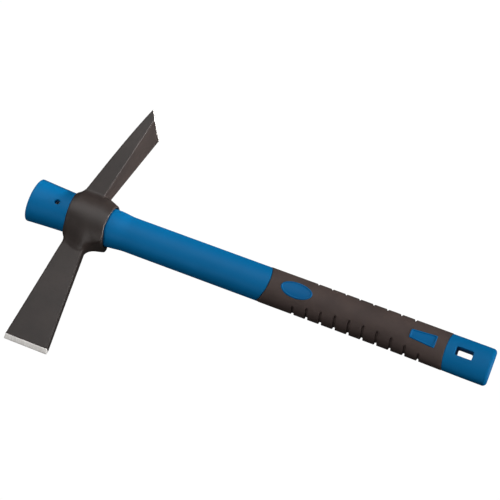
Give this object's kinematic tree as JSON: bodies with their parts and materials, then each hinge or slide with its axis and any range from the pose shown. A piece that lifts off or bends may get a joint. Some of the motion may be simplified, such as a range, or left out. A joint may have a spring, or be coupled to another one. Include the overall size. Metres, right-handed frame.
{
  "type": "hand mattock",
  "caption": "Small hand mattock: forged head with an axe blade and an adze blade on a jacketed fibreglass handle with a rubber grip and a hanging slot",
  "frame": {"origin": "centre of the handle's flat end face at the flared head end", "axes": "+X along the handle to the butt, +Y towards the adze blade, +Z across the blades, up when the tool lies on its side"},
  "size_m": [0.38, 0.2146, 0.0376],
  "materials": {
    "forged_steel": "dark grey lacquer over forged steel, cutting edges ground bright",
    "blue_jacket": "moulded polypropylene, satin",
    "fibreglass": "pultruded glass fibre rod, sawn end",
    "grip_rubber": "moulded thermoplastic rubber, matt",
    "pin_steel": "rolled spring steel",
    "badge_plastic": "moulded polypropylene, semi-gloss, blank"
  },
  "bodies": {
    "handle": {"handle_sheath": "blue_jacket", "fibreglass_core": "fibreglass", "rubber_grip": "grip_rubber", "roll_pin": "pin_steel", "oval_badge_front": "badge_plastic", "oval_badge_rear": "badge_plastic", "label_badge_front": "badge_plastic", "label_badge_rear": "badge_plastic"},
    "head": {"mattock_head": "forged_steel"}
  },
  "joints": [
    {"name": "head_slide", "type": "slide", "parent": "handle", "child": "head", "axis": [1, 0, 0], "range_m": [0, 0.355]}
  ]
}
